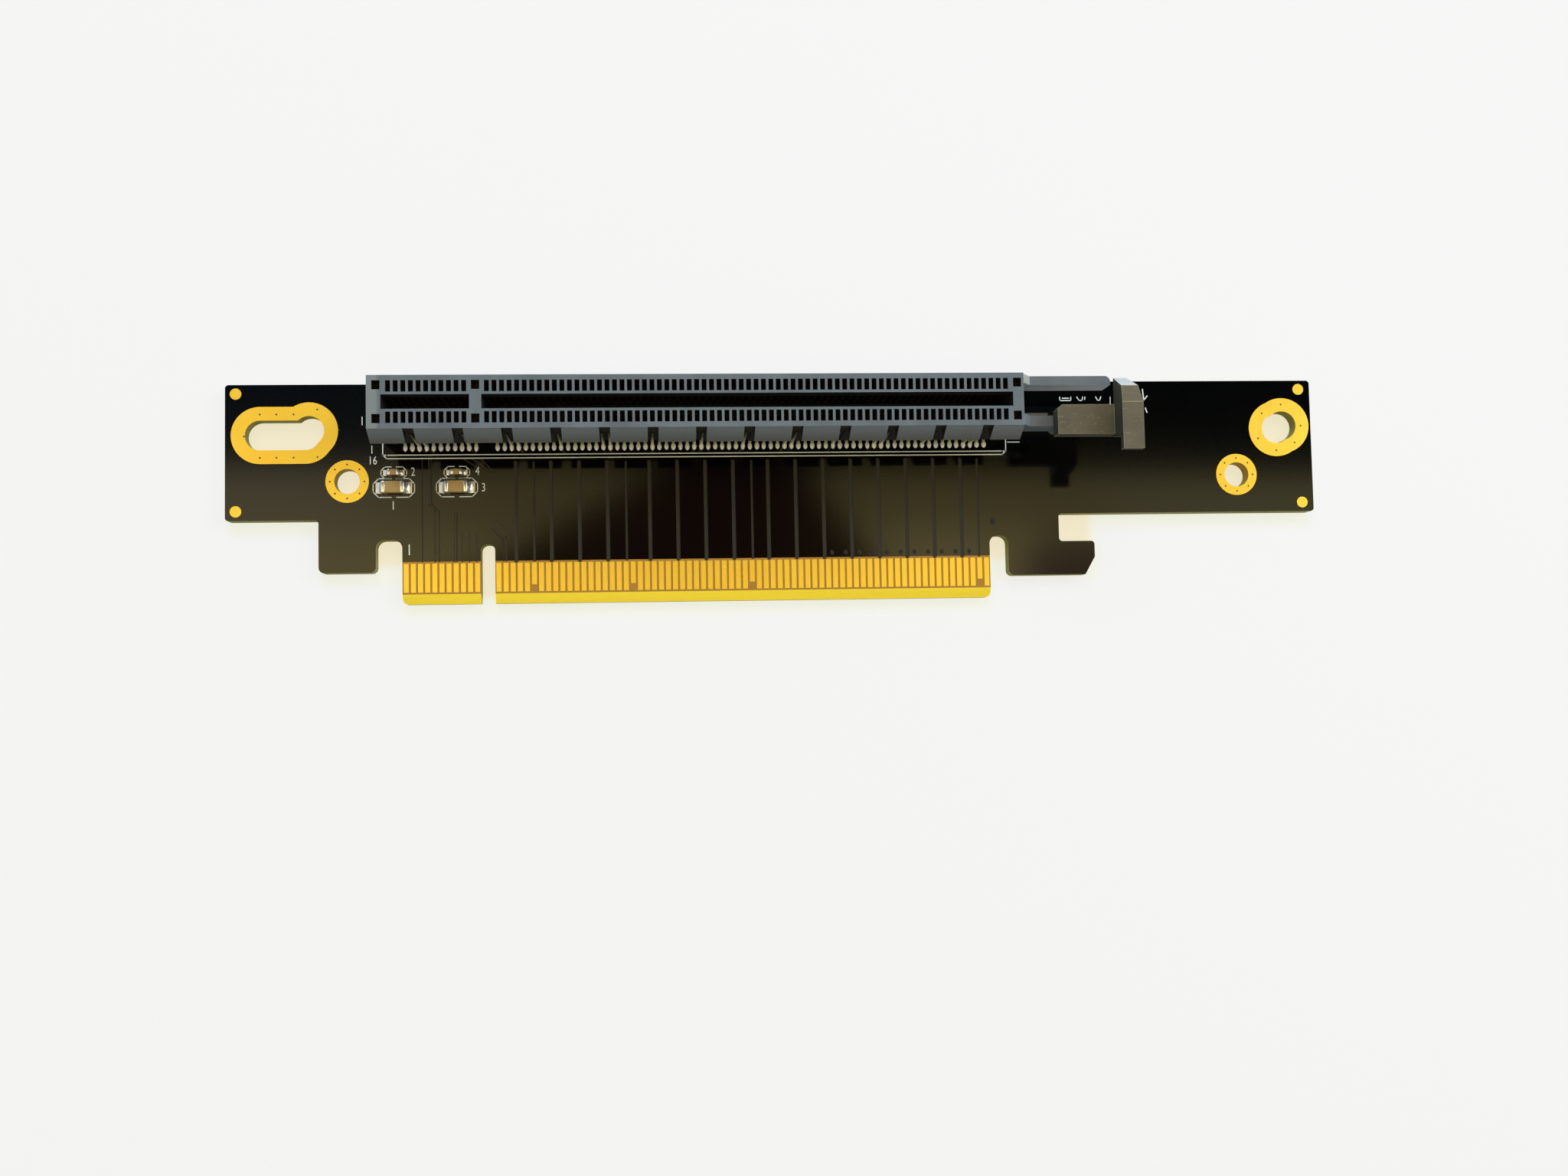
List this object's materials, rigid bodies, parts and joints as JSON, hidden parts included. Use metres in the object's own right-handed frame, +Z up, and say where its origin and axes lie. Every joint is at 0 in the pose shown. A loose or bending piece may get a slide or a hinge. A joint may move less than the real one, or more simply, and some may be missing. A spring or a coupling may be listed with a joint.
{
  "type": "pcie riser card",
  "caption": "Flat riser card with gold edge contacts on one long side and an upright x16 card slot with a swinging retention latch on the other.",
  "frame": {"origin": "middle of the card's box, on the board's underside", "axes": "X along the card, from the plain end to the latch end; +Y from the gold edge contacts towards the slot; +Z up out of the slot"},
  "size_m": [0.157, 0.0314, 0.016],
  "materials": {
    "solder_mask": "gloss black solder mask on glass-epoxy laminate",
    "gold": "bare gold plate",
    "housing_plastic": "satin blue-grey moulded plastic",
    "contact_metal": "tinned spring contacts",
    "latch_plastic": "rough olive-brown moulded plastic",
    "capacitor_ceramic": "brown ceramic",
    "capacitor_metal": "tinned"
  },
  "bodies": {
    "card": {"circuit_board": "solder_mask", "edge_contacts_front": "gold", "edge_contacts_back": "gold", "left_hole_ring": "gold", "right_hole_ring": "gold", "slotted_hole_ring": "gold", "pair_hole_ring": "gold", "corner_discs": "gold", "slot_housing": "housing_plastic", "slot_contacts_rear": "contact_metal", "slot_contacts_front": "contact_metal", "left_large_capacitor_ceramic": "capacitor_ceramic", "left_large_capacitor_end_caps": "capacitor_metal", "left_small_capacitor_ceramic": "capacitor_ceramic", "left_small_capacitor_end_caps": "capacitor_metal", "right_large_capacitor_ceramic": "capacitor_ceramic", "right_large_capacitor_end_caps": "capacitor_metal", "right_small_capacitor_ceramic": "capacitor_ceramic", "right_small_capacitor_end_caps": "capacitor_metal", "capacitor_lands": "capacitor_metal"},
    "latch": {"retention_latch": "latch_plastic"}
  },
  "joints": [
    {"name": "latch_swing", "type": "hinge", "parent": "card", "child": "latch", "pos_m": [0.03782, 0.00755, 0.0098], "axis": [0, 0, -1], "range_deg": [0, 30]}
  ]
}
